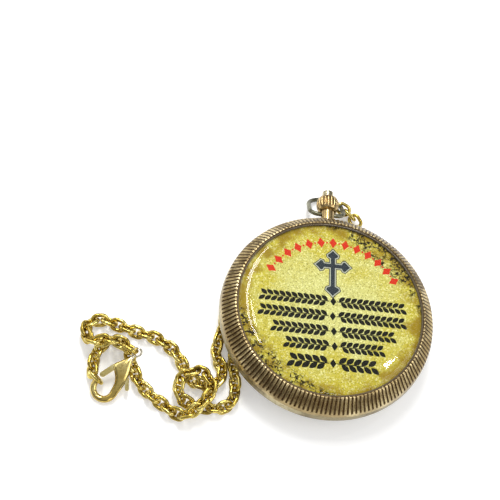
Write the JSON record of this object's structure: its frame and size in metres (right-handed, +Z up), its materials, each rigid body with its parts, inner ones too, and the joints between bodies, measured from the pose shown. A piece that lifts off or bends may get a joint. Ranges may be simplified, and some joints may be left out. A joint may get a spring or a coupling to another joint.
{
  "type": "pocket compass",
  "caption": "Round pocket compass: reeded lid with a domed crystal over a printed disc, push-button crown, swinging bow, curb chain and claw clasp.",
  "frame": {"origin": "centre of the flat foot that the case stands on", "axes": "+Z up through the crystal, +Y from the case's centre to the crown, +X to the right as seen from above with the crown at the top"},
  "size_m": [0.0827, 0.0643, 0.0133],
  "materials": {
    "aged_brass": "aged, tan and grey-brown, dark in the flutes",
    "bright_brass": "worn bright",
    "gold_brass": "antique gold with dark recesses",
    "dull_nickel": "dull, aged",
    "plain_steel": "plain",
    "blued_needle": "blued, with one red half",
    "dial_card": "printed",
    "print": "mottled parchment print",
    "red_jewel": "polished",
    "clear_glass": "clear",
    "dark_seal": "dark"
  },
  "bodies": {
    "case": {"case_bowl": "aged_brass", "pendant_neck": "bright_brass", "crown_barrel": "bright_brass", "button_spring": "plain_steel", "catch_screw": "plain_steel", "compass_pan": "bright_brass", "dial": "dial_card", "pivot_post": "bright_brass", "pivot_pin": "plain_steel", "dial_glass": "clear_glass", "glass_ring": "bright_brass", "hinge_pin": "plain_steel", "clasp_body": "gold_brass", "clasp_pin": "plain_steel", "clasp_spring": "plain_steel", "eye_link": "gold_brass", "hook_link": "gold_brass", "chain_heap_top": "gold_brass", "chain_upper_run": "gold_brass", "chain_outer_way": "gold_brass", "chain_turn": "gold_brass", "chain_inner_way": "gold_brass", "chain_lower_run": "gold_brass", "chain_heap_base": "gold_brass"},
    "lid": {"lid_shell": "aged_brass", "bezel": "aged_brass", "lid_liner": "bright_brass", "printed_disc": "print", "crystal": "clear_glass", "crystal_seal": "dark_seal"},
    "button": {"push_button": "dull_nickel", "button_stem": "plain_steel"},
    "catch": {"catch_lever": "plain_steel"},
    "compass_needle": {"needle": "blued_needle", "needle_hub": "bright_brass", "needle_jewel": "red_jewel"},
    "bow": {"bow": "dull_nickel", "bow_links": "gold_brass"},
    "gate": {"clasp_gate": "gold_brass"}
  },
  "joints": [
    {"name": "lid_hinge", "type": "hinge", "parent": "case", "child": "lid", "pos_m": [0, -0.0232, 0.0034], "axis": [1, 0, 0], "range_deg": [0, 100]},
    {"name": "button_push", "type": "slide", "parent": "case", "child": "button", "axis": [0, -1, 0], "range_m": [0, 0.0009], "stiffness_N_per_m": 1500, "deforming": ["button_spring"]},
    {"name": "catch_turn", "type": "hinge", "parent": "case", "child": "catch", "pos_m": [0.01563, 0.01311, 0.0058], "axis": [0, 0, 1], "range_deg": [0, 3.5]},
    {"name": "needle_turn", "type": "hinge", "parent": "case", "child": "compass_needle", "pos_m": [0, 0, 0.0064], "axis": [0, 0, 1], "continuous": true},
    {"name": "bow_swing", "type": "hinge", "parent": "case", "child": "bow", "pos_m": [0, 0.028, 0.0062], "axis": [1, 0, 0], "range_deg": [0, 125]},
    {"name": "gate_turn", "type": "hinge", "parent": "case", "child": "gate", "pos_m": [-0.04637, -0.01709, 0.00332], "axis": [-0.1237, -0.2777, 0.9527], "range_deg": [0, 15], "stiffness_Nm_per_rad": 0.002}
  ],
  "couplings": [
    {"joint": "catch_turn", "follows": "button_push", "rad_per_m": 63.991}
  ]
}
